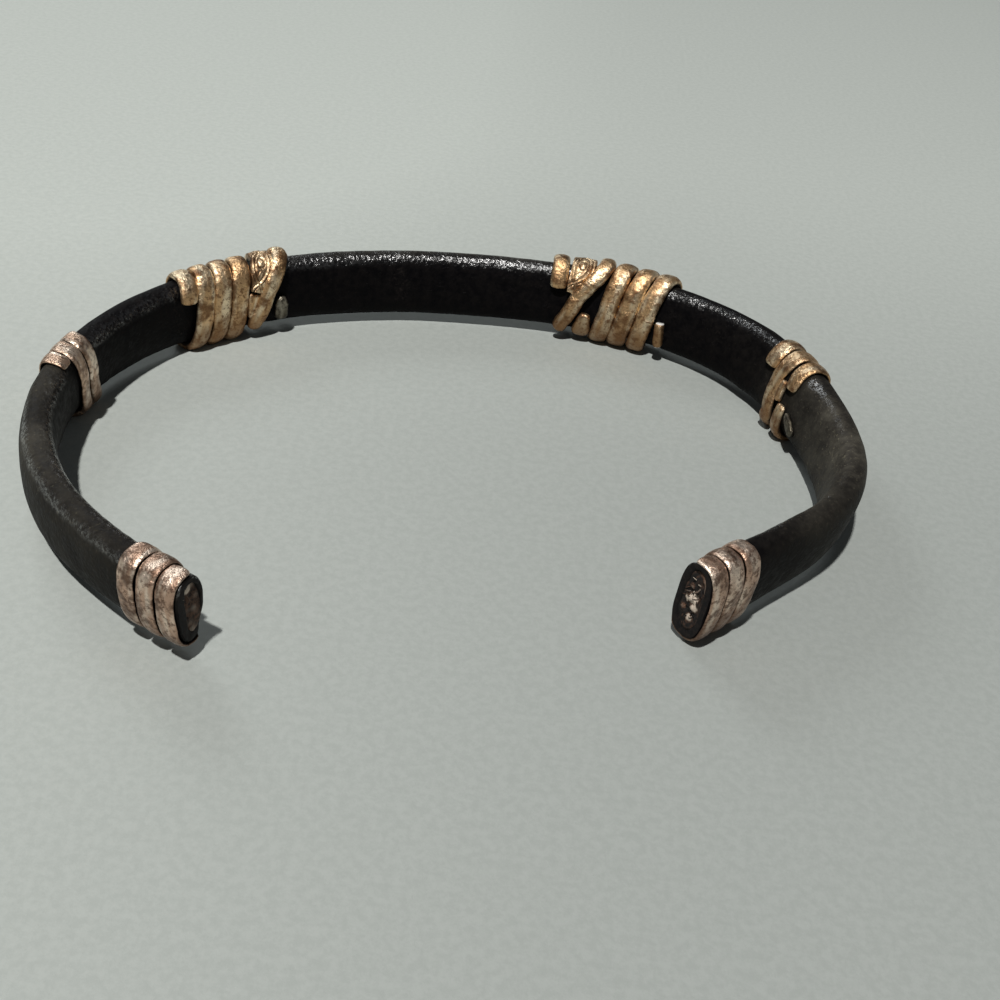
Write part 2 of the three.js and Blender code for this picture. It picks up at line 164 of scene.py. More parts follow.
# Stamped strips laid through rows of (angle, place in turns of the binding, share of the strip's width).
STRIPS = [
    dict(node="back_left_strip", binding="back_left", rows=[
        (-40, 1.9, 1), (60, 1.8, 1), (97, 1.73, 1), (128, 1.44, 0.92), (142, 1.34, 0.84), (156, 1.24, 0.7),
        (168, 1.12, 0.56)]),
    dict(node="back_right_strip", binding="back_right", rows=[
        (-40, -2.8, 1.1), (100, -2.77, 1.2), (122, -2.86, 1.1), (138, -2.98, 0.94), (153, -3.14, 0.74),
        (164, -3.24, 0.52), (172, -3.32, 0.3)]),
]

# Fineness of the meshes
BAND_STEP = 0.26
BAND_SIDES = 60
WIRE_STEP = 3
WIRE_SIDES = 22
STRIP_STEP = 1.2
STRIP_COLUMNS = 40
CORE_SIDES = 36
CORE_RINGS = 14  # over each torn end
CORE_STATIONS = 90

# The CAD sleeve's own stations and sides, which its place is found from
CAD_STATIONS = 48
CAD_SIDES = 24

# The photograph's camera, fitted to the band's outline
CAMERA_PLACE = (4.66, -88.65, 59.523)
CAMERA_PITCH = 35.316
CAMERA_ROLL = 7.331
FOCAL_LENGTH_PX = 1260.3
PICTURE_SIDE_PX = 1000
SENSOR_WIDTH = 36

# The metals' colours: rubbed pale, warm, brown in streaks and as painted shade towards the floor, and in
# tarnished crevices
GOLDEN = ((0.98, 0.8, 0.55), (0.7, 0.45, 0.235), (0.2, 0.1, 0.045), (0.016, 0.008, 0.005))
CREAM = ((0.98, 0.83, 0.68), (0.66, 0.46, 0.33), (0.19, 0.11, 0.07), (0.016, 0.009, 0.006))
PINKISH = ((0.92, 0.75, 0.61), (0.6, 0.4, 0.29), (0.15, 0.087, 0.058), (0.015, 0.009, 0.007))
DULL = ((0.45, 0.41, 0.33), (0.2, 0.175, 0.13), (0.045, 0.038, 0.028), (0.008, 0.007, 0.006))

# The studio's floor and lights, in metres and watts
FLOOR_SIZE = 4.0
FLOOR_CELLS = 24
WORLD_LIGHT = 0.085
LIGHTS = [
    dict(name="key", place=(-0.12, -0.36, 0.9), size=0.035, power=9.4, colour=(1.0, 0.985, 0.96)),
    dict(name="window", place=(-0.42, 0.62, 0.5), size=0.3, power=1.8, colour=(0.94, 0.98, 1.0)),
]


def unit(vectors):
    return vectors / np.linalg.norm(vectors, axis=-1, keepdims=True)


def ease(x):
    t = np.clip(x, 0, 1)
    return t * t * (3 - 2 * t)


def hill(value, middle, width, power=2):
    """1 at the middle, falling to none on both sides."""
    return np.exp(-(((value - middle) / width) ** power))


def signed_power(value, power):
    return np.sign(value) * np.abs(value) ** power


def table(rows, column, value):
    """Reads a column of rows between them, with their first column as the running one."""
    keys = [row[0] for row in rows]
    values = [row[column] for row in rows]
    if keys[-1] < keys[0]:
        keys, values = keys[::-1], values[::-1]
    return np.interp(value, keys, values)


def middle_line(distance):
    """The band's middle line in plan: tangent arcs laid end to end."""
    stretch = BAND_LENGTH / len(BENDS)
    x, y, heading = [0.0], [0.0], [math.radians(LEFT_TIP_HEADING)]
    for bend in BENDS:
        turn = math.radians(bend)
        chord = stretch * math.sin(turn / 2) / (turn / 2)
        x.append(x[-1] + chord * math.cos(heading[-1] - turn / 2))
        y.append(y[-1] + chord * math.sin(heading[-1] - turn / 2))
        heading.append(heading[-1] - turn)
    i = np.clip((distance / stretch).astype(int), 0, len(BENDS) - 1)
    length = distance - i * stretch
    turn = np.radians(np.array(BENDS))[i] * length / stretch
    chord = length * np.sinc(turn / (2 * math.pi))
    start = np.array(heading)[i]
    return (
        np.array(x)[i] + chord * np.cos(start - turn / 2),
        np.array(y)[i] + chord * np.sin(start - turn / 2),
        start - turn,
    )


def band_frame(distance):
    """The section's centre, outward and up axes and half height at each distance from the left tip."""
    distance = np.asarray(distance, float)
    x, y, heading = middle_line(distance)
    place = distance / BAND_LENGTH
    lean = np.radians(table(LEANS, 1, place))[:, None]
    height = BAND_HEIGHT * table(HEIGHTS, 1, place)
    centre = np.stack([x, y, LEATHER_UNDERSIDE + BAND_HEIGHT - height / 2], -1)
    level = np.stack([-np.sin(heading), np.cos(heading), 0 * heading], -1)
    upright = np.array([0.0, 0.0, 1.0])
    outward = level * np.cos(lean) - upright * np.sin(lean)
    up = level * np.sin(lean) + upright * np.cos(lean)
    return centre, outward, up, height / 2


def oval(distance, angle, inset=0.0):
    """Points on the band's oval and its normals there. Each argument is a list of one length, or single."""
    distance, angle, inset = np.broadcast_arrays(distance, angle, inset)
    centre, outward, up, half_height = band_frame(distance)
    half_thickness = BAND_THICKNESS / 2
    a = np.radians(angle)
    cos, sin = np.cos(a), np.sin(a)
    out = (half_thickness - inset) * signed_power(cos, 2 / OVAL_POWER)
    rise = (half_height - inset) * signed_power(sin, 2 / OVAL_POWER)
    point = centre + outward * out[:, None] + up * rise[:, None]
    power = 2 - 2 / OVAL_POWER
    normal_out = signed_power(cos, power) / half_thickness
    normal_rise = signed_power(sin, power) / half_height
    return point, unit(outward * normal_out[:, None] + up * normal_rise[:, None])


def outward_axis(distance, left):
    """The unit vector along the band and out of its left or right end."""
    _, _, heading = middle_line(np.array([distance]))
    return np.array([math.cos(heading[0]), math.sin(heading[0]), 0.0]) * (-1 if left else 1)


def place_in_frame():
    """The step from the band's own start to the CAD model's place, found from the sleeve's box."""
    stations, sides = np.meshgrid(np.arange(CAD_STATIONS + 1), np.arange(CAD_SIDES), indexing="ij")
    points, _ = oval(stations.ravel() * BAND_LENGTH / CAD_STATIONS, sides.ravel() * 360 / CAD_SIDES)
    low = np.array(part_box("leather_sleeve")[0]) / MM
    step = low - points.min(0)
    step[2] = 0
    return step


OFFSET = place_in_frame()


def noise_at(points, per_mm, seed=0.0):
    """Smooth noise from -1 to 1 at each point, with features 1 / per_mm across."""
    shift = Vector((seed * 7.3, seed * 3.1, seed * 5.7))
    return np.array([noise.noise(Vector(p) * per_mm + shift) for p in points])


def link_mesh(name, points, faces, attributes=None):
    """A smooth mesh object from points in millimetres, with its values kept on the points."""
    mesh = bpy.data.meshes.new(name)
    mesh.from_pydata(((np.asarray(points) + OFFSET) * MM).tolist(), [], faces)
    mesh.update()
    mesh.polygons.foreach_set("use_smooth", [True] * len(mesh.polygons))
    for key, values in (attributes or {}).items():
        mesh.attributes.new(key, "FLOAT", "POINT").data.foreach_set("value", np.asarray(values, np.float32))
    piece = bpy.data.objects.new(name, mesh)
    bpy.context.scene.collection.objects.link(piece)
    return piece


def dress(piece, material, node):
    """Puts a material on a piece, and lets it stand for a CAD node."""
    piece.data.materials.append(material)
    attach(piece, "root")
    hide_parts(node)


def ring_faces(rings, sides, first=0, turned=False):
    faces = []
    for i in range(rings - 1):
        row = first + i * sides
        for k in range(sides):
            n = (k + 1) % sides
            quad = (row + k, row + n, row + sides + n, row + sides + k)
            faces.append(quad[::-1] if turned else quad)
    return faces


def capped(rings):
    """Points and faces of a bar through rings of points, closed by a fan at each end."""
    count, sides = rings.shape[:2]
    points = np.concatenate([rings.reshape(-1, 3), rings[:1].mean(1), rings[-1:].mean(1)])
    faces = ring_faces(count, sides)
    last = (count - 1) * sides
    for k in range(sides):
        n = (k + 1) % sides
        faces.append((count * sides, n, k))
        faces.append((count * sides + 1, last + k, last + n))
    return points, faces


# Materials, each a small network of procedural nodes on the object's own coordinates


class Network:
    """A material's nodes, added one by one."""

    def __init__(self, name):
        self.material = bpy.data.materials.new(name)
        self.material.use_nodes = True
        self.tree = self.material.node_tree
        self.tree.nodes.clear()
        self.output = self.add("ShaderNodeOutputMaterial")
        self.shader = self.add("ShaderNodeBsdfPrincipled")
        self.join(self.shader, "BSDF", self.output, "Surface")
        self.place = self.add("ShaderNodeTexCoord")

    def add(self, kind, **values):
        node = self.tree.nodes.new(kind)
        for key, value in values.items():
            setattr(node, key, value)
        return node

    def join(self, source, out, target, into):
        self.tree.links.new(source.outputs[out], target.inputs[into])

    def noise(self, scale, detail=3.0, roughness=0.55):
        node = self.add("ShaderNodeTexNoise")
        node.inputs["Scale"].default_value = scale
        node.inputs["Detail"].default_value = detail
        node.inputs["Roughness"].default_value = roughness
        self.join(self.place, "Object", node, "Vector")
        return node, "Fac"

    def cells(self, scale):
        node = self.add("ShaderNodeTexVoronoi")
        node.inputs["Scale"].default_value = scale
        self.join(self.place, "Object", node, "Vector")
        return node, "Distance"

    def attribute(self, name):
        return self.add("ShaderNodeAttribute", attribute_name=name), "Fac"

    def ramp(self, source, low, high, start=0.0, end=1.0):
        """Turns a value between low and high into one between start and end."""
        node = self.add("ShaderNodeMapRange", interpolation_type="SMOOTHSTEP")
        node.inputs["From Min"].default_value = low
        node.inputs["From Max"].default_value = high
        node.inputs["To Min"].default_value = start
        node.inputs["To Max"].default_value = end
        self.join(*source, node, "Value")
        return node, "Result"

    def math(self, operation, first, second):
        node = self.add("ShaderNodeMath", operation=operation, use_clamp=True)
        for index, value in enumerate((first, second)):
            if isinstance(value, tuple):
                self.join(*value, node, index)
            else:
                node.inputs[index].default_value = value
        return node, "Value"

    def blend(self, factor, first, second):
        """A mix of two colours, each given as numbers or as another node's colour."""
        node = self.add("ShaderNodeMix", data_type="RGBA")
        self.tree.links.new(factor[0].outputs[factor[1]], node.inputs["Factor"])
        for name, value in (("A", first), ("B", second)):
            socket = [s for s in node.inputs if s.name == name and s.type == "RGBA"][0]
            if isinstance(value[0], (int, float)):
                socket.default_value = (*value, 1)
            else:
                self.tree.links.new(colour_output(value[0]), socket)
        return node, "Result"

    def bump(self, heights, into="Normal"):
        """Bumps from (source, strength, depth in metres), each on top of the one before."""
        before = None
        for source, strength, depth in heights:
            node = self.add("ShaderNodeBump")
            node.inputs["Strength"].default_value = strength
            node.inputs["Distance"].default_value = depth
            self.join(*source, node, "Height")
            if before:
                self.join(before, "Normal", node, "Normal")
            before = node
        self.join(before, "Normal", self.shader, into)

    def colour(self, source):
        self.tree.links.new(colour_output(source[0]), self.shader.inputs["Base Color"])


def colour_output(node):
    return [s for s in node.outputs if s.type == "RGBA"][0]


def leather_material():
    """Black leather: grey and matt where it is dusty or painted with a pale sheen, and glossy along its
    rubbed edges.
    """
    net = Network("worn_black_leather")
    patches = net.noise(230, 4)
    mottle = net.noise(1500, 5, 0.62)
    grain = net.cells(2900)
    fine = net.noise(8000, 3)
    flecks = net.noise(3600, 4, 0.7)
    dust_and_sheen = net.attribute("dust_and_sheen")
    rubbed = net.attribute("rubbed")
    pits = net.ramp(net.noise(900, 3, 0.7), 0.6, 0.72)
    tone = net.blend(net.ramp(mottle, 0.3, 0.72), (0.0008, 0.0007, 0.0013), (0.0038, 0.003, 0.0032))
    scuffs = net.math("MULTIPLY", net.ramp(patches, 0.54, 0.72), net.ramp(flecks, 0.5, 0.66))
    scuffed = net.blend(scuffs, tone, (0.014, 0.011, 0.01))
    cloudy = net.math("ADD", net.ramp(patches, 0.35, 0.7, 0, 0.6), net.ramp(mottle, 0.35, 0.7, 0, 0.5))
    grey = net.blend(cloudy, (0.03, 0.027, 0.023), (0.096, 0.088, 0.07))
    specked = net.blend(net.ramp(flecks, 0.58, 0.7, 0, 0.75), grey, (0.2, 0.18, 0.125))
    # grey where dusty, and grey too as a painted sheen on the back's top edge and the left arm
    net.colour(net.blend(dust_and_sheen, scuffed, specked))
    net.join(*net.ramp(mottle, 0.35, 0.65, 0.5, 0.66), net.shader, "Roughness")
    net.shader.inputs["Specular IOR Level"].default_value = 0.06
    glossy = net.math("MULTIPLY", net.ramp(rubbed, 0.1, 0.75), net.ramp(flecks, 0.42, 0.55, 0.12, 1))
    net.join(*glossy, net.shader, "Coat Weight")
    net.shader.inputs["Coat Roughness"].default_value = 0.22
    net.shader.inputs["Coat IOR"].default_value = 2.2
    net.bump([(grain, 0.7, 0.00006), (mottle, 1.0, 0.00014)], "Coat Normal")
    net.bump([(pits, 0.6, 0.00007), (grain, 0.6, 0.00005), (mottle, 0.6, 0.00007), (fine, 0.4, 0.000016)])
    return net.material


def cut_leather_material():
    net = Network("cut_leather_edge")
    mottle = net.noise(2500, 5, 0.65)
    net.colour(net.blend(net.ramp(mottle, 0.35, 0.7), (0.004, 0.0035, 0.004), (0.022, 0.017, 0.015)))
    net.join(*net.ramp(mottle, 0.3, 0.7, 0.6, 0.85), net.shader, "Roughness")
    net.shader.inputs["Specular IOR Level"].default_value = 0.2
    net.bump([(mottle, 0.6, 0.00008)])
    return net.material


def fibre_material():
    net = Network("torn_core_fibres")
    strands = net.noise(2600, 4, 0.7)
    tone = net.attribute("tone")
    brown = net.blend(net.ramp(strands, 0.35, 0.65), (0.014, 0.008, 0.006), (0.125, 0.062, 0.036))
    body = net.blend(net.ramp(tone, 0.05, 0.35), (0.008, 0.006, 0.005), brown)
    net.colour(net.blend(net.ramp(tone, 0.4, 0.85), body, (0.66, 0.55, 0.45)))
    net.shader.inputs["Roughness"].default_value = 0.9
    net.bump([(strands, 0.7, 0.0001)])
    return net.material


def metal_material(name, pale, warm, brown, tarnish):
    """Hammered, aged metal: pale where rubbed, warm and brown in streaks, tarnished in its crevices, with
    painted shade in brown towards the floor and a painted white glint on fresh cuts.
    """
    net = Network(name)
    streaks = net.attribute("streak")
    patches = net.noise(760, 5, 0.62)
    specks = net.noise(2300, 5, 0.66)
    fine = net.noise(7000, 4, 0.6)
    crevice = net.attribute("crevice")
    bare_and_glint = net.attribute("bare_and_glint")
    painted_shade = net.attribute("painted_shade")
    body = net.blend(net.ramp(streaks, 0.32, 0.88), warm, pale)
    # browner towards the bottom of the band: painted shade on the wires' lower parts
    body = net.blend(net.ramp(painted_shade, 0.15, 0.85, 0, 0.8), body, brown)
    body = net.blend(net.ramp(patches, 0.46, 0.64, 0, 0.9), body, brown)
    body = net.blend(net.ramp(specks, 0.5, 0.62, 0, 0.8), body, brown)
    grimy = net.math("ADD", net.ramp(crevice, 0.3, 0.95), net.ramp(fine, 0.56, 0.7, 0, 0.35))
    aged = net.blend(grimy, body, tarnish)
    # a fresh cut is coloured near white: a painted glint, and less metallic below
    net.colour(net.blend(net.ramp(bare_and_glint, 0.5, 0.9), aged, (0.95, 0.94, 0.9)))
    rough = net.math("ADD", net.ramp(specks, 0.42, 0.62, 0.32, 0.52), net.ramp(crevice, 0.3, 0.9, 0, 0.3))
    net.join(*rough, net.shader, "Roughness")
    net.join(*net.ramp(bare_and_glint, 0.4, 0.9, 0.92, 0.2), net.shader, "Metallic")
    net.bump([(patches, 0.7, 0.00026), (specks, 0.75, 0.00012), (fine, 0.5, 0.00003)])
    return net.material


def floor_material():
    """Pale grey card with a painted pool of light: a little brighter towards its far left side."""
    net = Network("pale_card")
    fibres = net.noise(1500, 4, 0.7)
    axes = net.add("ShaderNodeSeparateXYZ")
    net.join(net.place, "Object", axes, "Vector")
    # painted light: the card is paler towards the far side and the left, for the light's fall-off there
    far = net.ramp((axes, "Y"), -0.01, 0.085, 0, 0.74)
    left = net.ramp((axes, "X"), 0.025, -0.05, 0, 0.66)
    dark = net.blend(net.ramp(fibres, 0.35, 0.65), (0.318, 0.34, 0.322), (0.346, 0.368, 0.35))
    pale = net.blend(net.ramp(fibres, 0.35, 0.65), (0.465, 0.497, 0.467), (0.505, 0.537, 0.505))
    net.colour(net.blend(net.math("ADD", far, left), dark, pale))
    net.shader.inputs["Roughness"].default_value = 0.9
    net.shader.inputs["Specular IOR Level"].default_value = 0.25
    net.bump([(net.noise(1800, 4, 0.7), 0.3, 0.00012)])
    return net.material


# Pieces


def leather_relief(points, distance, angle):
    """How far the leather's surface stands off its oval, in millimetres."""
    rise = 0.05 * noise_at(points, 0.16, 1) + 0.022 * noise_at(points, 0.7, 2)
    for binding in BINDINGS.values():
        pressed_up = hill(np.abs(distance - binding["at"]), 4.6, 1.3)
        rise = rise + 0.07 * pressed_up * (0.6 + 0.4 * noise_at(points, 0.8, 3))
    inner = np.maximum(0, -np.cos(np.radians(angle)))
    wrinkles = np.sin(distance * 5.2 + 2.5 * noise_at(points, 0.35, 4))
    return rise + 0.014 * inner * wrinkles


def leather_wear(points, distance, angle):
    """Where the leather is dusty or painted with a pale sheen, and where it is rubbed glossy, from 0 to 1.
    """
    place = distance / BAND_LENGTH
    round_top = (angle + 90) % 360 - 90
    inner = np.clip(-np.cos(np.radians(angle)), 0, 1)
    outer = np.clip(np.cos(np.radians(angle)), 0, 1)
    top = np.clip(np.sin(np.radians(angle)), 0, 1)
    cloud = 0.75 + 0.5 * noise_at(points, 0.3, 12)
    right_arm = hill(place, 0.85, 0.07)
    left_arm = ease((0.235 - place) / 0.03) * (0.45 + 0.55 * ease((place - 0.02) / 0.08))
    ridge = ease((128 - round_top) / 16)
    dust_and_sheen = (1.1 * inner + 0.7 * top + 0.5 * outer) * right_arm
    # on the left arm the grey is partly dust and partly painted sheen, paler on the top face than the outer
    # one
    dust_and_sheen = dust_and_sheen + (0.26 * outer + 0.42 * top) * ridge * left_arm
    dust_and_sheen = dust_and_sheen + 0.07 * inner * hill(place, 0.19, 0.03)
    # along the back's top edge the grey is a painted sheen, standing in for the window lamp's reflection
    dust_and_sheen = dust_and_sheen + 0.45 * hill(round_top, 84, 26) * hill(place, 0.5, 0.13, 4)
    edges = hill(round_top, 122, 20) * (1 - 0.8 * right_arm)
    edges = edges + hill(round_top, 56, 15) * ease((0.2 - place) / 0.05)
    edges = edges + 1.2 * hill(round_top, 80, 16) * hill(place, 0.5, 0.12, 4)
    rubbed = edges * (0.75 + 0.6 * noise_at(points, 0.5, 13))
    return {"dust_and_sheen": np.clip((dust_and_sheen + 0.02) * cloud, 0, 1), "rubbed": np.clip(rubbed, 0, 1)}


def wall_at(angle, depth, lean):
    """The leather's thickness at a depth inside a cut: thin at the face, thinnest on the wrist's side."""
    face = FACE_WALL + lean * np.cos(np.radians(angle)) + 0.05 * np.sin(np.radians(3 * angle))
    share = np.clip((depth - 0.3) / 1.2, 0, 1)
    return face + (LEATHER_WALL - face) * share


def cut_rows(angles, lean):
    """Rings of a cut end from deep inside to its outside: (depth, insets, 1 where the leather is cut)."""
    rows = []
    for depth, share in ((4.0, 1.0), (1.5, 1.0), (0.4, 1.0), (0.06, 0.98)):
        rows.append((depth, wall_at(angles, depth, lean) * share, 1))
    for share in (0.85, 0.5):
        rows.append((0.0, wall_at(angles, 0, lean) * share, 1))
    for depth, inset, cut in ((0, 1, 1), (0.3, 0.3, 0), (1, 0, 0)):
        rows.append((depth * CUT_ROUNDING, np.full(BAND_SIDES, inset * CUT_ROUNDING), cut))
    return rows


def leather_band():
    """The sleeve: a grained oval tube with rounded cut edges, its left cut face torn on the inner side."""
    angles = np.arange(BAND_SIDES) * 360 / BAND_SIDES
    stations = np.linspace(0, BAND_LENGTH, round(BAND_LENGTH / BAND_STEP) + 1)
    flare = RIGHT_END["flare"] * (0.55 + 0.45 * np.abs(np.sin(np.radians(angles))))
    tear = NOTCH_DEPTH * ease(1 - np.abs(angles - 222) / 60)
    rows = []
    for depth, inset, cut in cut_rows(angles, LEFT_END["lean"]):
        rows.append((depth + tear * max(0.0, 1 - depth / 4), inset, cut))
    for depth in stations[1:-1]:
        rows.append((depth + tear * max(0.0, 1 - depth / 1.5), np.zeros(BAND_SIDES), 0))
    for depth, inset, cut in cut_rows(angles, RIGHT_END["lean"])[::-1]:
        spread = flare * max(0.0, 1 - depth / 0.4)
        rows.append((np.full(BAND_SIDES, BAND_LENGTH - depth), inset - spread, cut))
    distance = np.concatenate([d for d, _, _ in rows])
    inset = np.concatenate([i for _, i, _ in rows])
    cut = np.repeat([c for _, _, c in rows], BAND_SIDES)
    angle = np.tile(angles, len(rows))
    points, normals = oval(distance, angle, inset)
    grain = leather_relief(points, distance, angle)
    points = points + normals * np.where(inset < 0.3, grain, 0.05 * noise_at(points, 1.6, 5))[:, None]
    at_end = (distance < 1.6) | (distance > BAND_LENGTH - 0.3)
    rough = (0.08 * noise_at(points, 2.2, 6) + 0.04 * noise_at(points, 5, 7)) * cut * at_end
    _, _, heading = middle_line(distance)
    points = points + np.stack([np.cos(heading), np.sin(heading), 0 * heading], -1) * rough[:, None]
    wear = leather_wear(points, distance, angle)
    piece = link_mesh("leather_band", points, ring_faces(len(rows), BAND_SIDES), wear)
    dress(piece, leather_material(), "leather_sleeve")
    piece.data.materials.append(cut_leather_material())
    on_cut = np.array([c > 0.5 for _, _, c in rows])
    slots = np.repeat((on_cut[:-1] & on_cut[1:]).astype(int), BAND_SIDES)
    piece.data.polygons.foreach_set("material_index", slots)


def clumps_at(points, centre, outward, up, half_height, clumps):
    """How near each point is to an end's clumps of fibre, and the lightest tone that they give it."""
    height = np.zeros(len(points))
    tone = np.zeros(len(points))
    for out, high, radius, light in clumps:
        middle = centre + outward * out * BAND_THICKNESS / 2 + up * high * half_height
        near = np.clip(1.25 - np.linalg.norm(points - middle, axis=1) / radius, 0, 1)
        near = near * (0.8 + 0.4 * noise_at(points, 3.5, 14))
        height = height + near
        tone = np.maximum(tone, light * np.clip(near * 3, 0, 1))
    return height, tone


def core_end(left):
    """Rings of the core's end from its middle outwards and then into the sleeve, and their tones."""
    end = LEFT_END if left else RIGHT_END
    angles = np.arange(CORE_SIDES) * 360 / CORE_SIDES
    across = [(0.0, share) for share in np.linspace(0.05, 1, CORE_RINGS)]
    inwards = [(depth, 1.0) for depth in (0.25, 0.6, 1.1, 1.7, 3.0)]
    rings, tones = [], []
    for depth, share in across + inwards:
        place = end["recess"] + depth
        distance = place if left else BAND_LENGTH - place
        spread = 0.8 * end["flare"] * max(0.0, 1 - depth / 0.4)
        inset = wall_at(angles, place, end["lean"]) + CORE_CLEARANCE - spread
        points, _ = oval(np.full(CORE_SIDES, distance), angles, inset)
        hub = points.mean(0)
        points = hub + (points - hub) * share
        centre, outward, up, half_height = band_frame(np.array([distance]))
        height, light = clumps_at(points, centre[0], outward[0], up[0], half_height[0], end["clumps"])
        tone = end["tone"] + 0.25 * noise_at(points, 1.4, 9) + end["speckle"] * noise_at(points, 4, 10)
        lining = hill(share, 0.95, 0.07) * np.clip(np.cos(np.radians(angles - 20)) + 0.25, 0, 1)
        tones.append(np.maximum.reduce([tone, light, 0.62 * lining]))
        if depth < 0.3:
            torn = end["roughness"] * (noise_at(points, 1.8, 8) + 0.6 * noise_at(points, 4.5, 8))
            points = points + outward_axis(distance, left) * (torn + 0.16 * height)[:, None]
        rings.append(points)
    return rings, tones


def loose_fibre(random, left):
    """Rings of one short tapered fibre that stands out of the core's end, and its tone."""
    end = LEFT_END if left else RIGHT_END
    turn = random.uniform(0, 2 * math.pi)
    reach = math.sqrt(random.uniform(0, 1)) * 0.85
    depth = end["recess"] + 0.15
    distance = depth if left else BAND_LENGTH - depth
    centre, outward, up, _ = band_frame(np.array([distance]))
    outward, up = outward[0], up[0]
    wide = (BAND_THICKNESS / 2 - FACE_WALL) * reach * math.cos(turn)
    high = (BAND_HEIGHT / 2 - FACE_WALL) * reach * math.sin(turn)
    root = centre[0] + outward * wide + up * high
    lean = outward * random.normal(0, 0.5) + up * random.normal(0, 0.8)
    length = random.uniform(0.2, 0.4)
    radius = random.uniform(0.03, 0.09)
    around = np.linspace(0, 2 * math.pi, 7)[:-1] * (-1 if left else 1)
    rings = []
    for t in np.linspace(0, 1, 6):
        hub = root + outward_axis(distance, left) * length * t + lean * 0.5 * t * t
        size = radius * (1 - 0.55 * t * t)
        rings.append([hub + (outward * math.cos(a) + up * math.sin(a)) * size for a in around])
    tone = random.choice([0.05, 0.3, 0.5, 0.9], p=[0.5, 0.25, 0.1, 0.15])
    return np.array(rings), tone


def core_fibres():
    """The core: a bar through the sleeve with torn ends, and loose fibres that stand out of them."""
    near, near_tones = core_end(True)
    far, far_tones = core_end(False)
    angles = np.arange(CORE_SIDES) * 360 / CORE_SIDES
    between = []
    for distance in np.linspace(6, BAND_LENGTH - 6, CORE_STATIONS):
        ring, _ = oval(np.full(CORE_SIDES, distance), angles, LEATHER_WALL + CORE_CLEARANCE)
        between.append(ring)
    points, faces = capped(np.array(near + between + far[::-1]))
    tones = near_tones + [np.full(CORE_SIDES, 0.2)] * len(between) + far_tones[::-1] + [[0.2, 0.3]]
    random = np.random.default_rng(11)
    for left, end in ((True, LEFT_END), (False, RIGHT_END)):
        for _ in range(end["fibres"]):
            rings, tone = loose_fibre(random, left)
            fibre_points, fibre_faces = capped(rings)
            faces += [tuple(v + len(points) for v in face) for face in fibre_faces]
            points = np.concatenate([points, fibre_points])
            tones.append(np.full(len(fibre_points), tone))
    piece = link_mesh("core_fibres", points, faces, {"tone": np.concatenate(tones)})
    dress(piece, fibre_material(), "core")


def thickness_at(angle, share, under=1.0):
    """The wire's thickness round the band: share of it away from the underside, and under of it there."""
    low = np.maximum(0, -np.sin(np.radians(angle))) ** 2
    return WIRE_THICKNESS * (share + max(0, under - share) * low)


def seats(distance, angle, clearance=SEAT_CLEARANCE):
    """Where a bound piece sits on the band: its points, its normals, the side axes and the length so far."""
    point, normal = oval(distance, angle)
    point = point + normal * clearance
    tangent = np.empty_like(point)
    tangent[1:-1] = point[2:] - point[:-2]
    tangent[0] = point[1] - point[0]
    tangent[-1] = point[-1] - point[-2]
    side = unit(np.cross(normal, tangent))
    step = np.linalg.norm(np.diff(point, axis=0), axis=1)
    return point, normal, side, np.concatenate([[0], np.cumsum(step)])


def wire(node, distance, angle, width, thickness, material, seed, clearance=SEAT_CLEARANCE, bare_and_glint_end=0.0):
    """A hammered wire through seats on the band, with rounded cut ends."""
    point, normal, side, travelled = seats(distance, angle, clearance)
    turn = -np.arange(WIRE_SIDES) * 2 * math.pi / WIRE_SIDES
    across = 0.5 * WIRE_SWELL * signed_power(np.cos(turn), 2 / 2.5)
    proud = 0.5 + 0.5 * signed_power(np.sin(turn), 2 / 2.2)
    foot = clearance - CONTACT
    wander = 0.05 * noise_at(point, 0.45, seed)
    swell = 1 + 0.07 * noise_at(point, 0.5, seed + 1)
    from_end = np.minimum(travelled, travelled[-1] - travelled)
    taper = 1 - 0.25 * np.exp(-from_end / 0.12)
    rings = []
    for i in range(len(point)):
        wide = across * width[i] * swell[i] * taper[i] + wander[i]
        tall = -foot + proud * (thickness[i] + foot) * (1 - 0.5 * (1 - taper[i]))
        rings.append(point[i] + side[i] * wide[:, None] + normal[i] * tall[:, None])
    rings = np.array(rings)
    flat = rings.reshape(-1, 3)
    hub = np.repeat(rings.mean(1), WIRE_SIDES, axis=0)
    dents = 0.05 * noise_at(flat, 0.9, seed + 2) + 0.03 * noise_at(flat, 2.4, seed + 3)
    along = np.repeat(travelled, WIRE_SIDES) * 0.45
    lengthwise = np.stack([along, np.tile(across, len(point)) * 3.2, np.full(len(flat), seed)], -1)
    flat = flat + unit(flat - hub) * dents[:, None]
    flat[:, 2] = np.maximum(flat[:, 2], 0.0)
    points, faces = capped(flat.reshape(rings.shape))
    crevice = np.tile(np.clip((0.72 - proud) / 0.5, 0, 1), len(point))
    # the cut end's near-white colour is a painted glint
    bare_and_glint = np.repeat(np.where(from_end < 0.02, bare_and_glint_end, 0.0), WIRE_SIDES)
    values = {
        "crevice": np.append(crevice, [0, 0]),
        "bare_and_glint": np.append(bare_and_glint, [bare_and_glint_end, bare_and_glint_end]),
        "streak": np.append(0.5 + 0.9 * noise_at(lengthwise, 1, seed), [1, 1]),
        # the wire's colour goes browner towards the floor: painted shade
        "painted_shade": np.clip(1.05 - points[:, 2] / 5.2 + 0.25 * noise_at(points, 0.9, seed + 4), 0, 1),
    }
    piece = link_mesh(node + "_worn", points, faces, values)
    dress(piece, material, node)


def steps_made(angle, step, span):
    """The steps taken up to an angle, each spread over span degrees round the angle step in its turn."""
    turns = (angle - step) / 360 + 0.5
    whole = np.floor(turns)
    part = (turns - whole - 0.5) * 360 / span + 0.5
    return whole + np.clip(part, 0, 1)


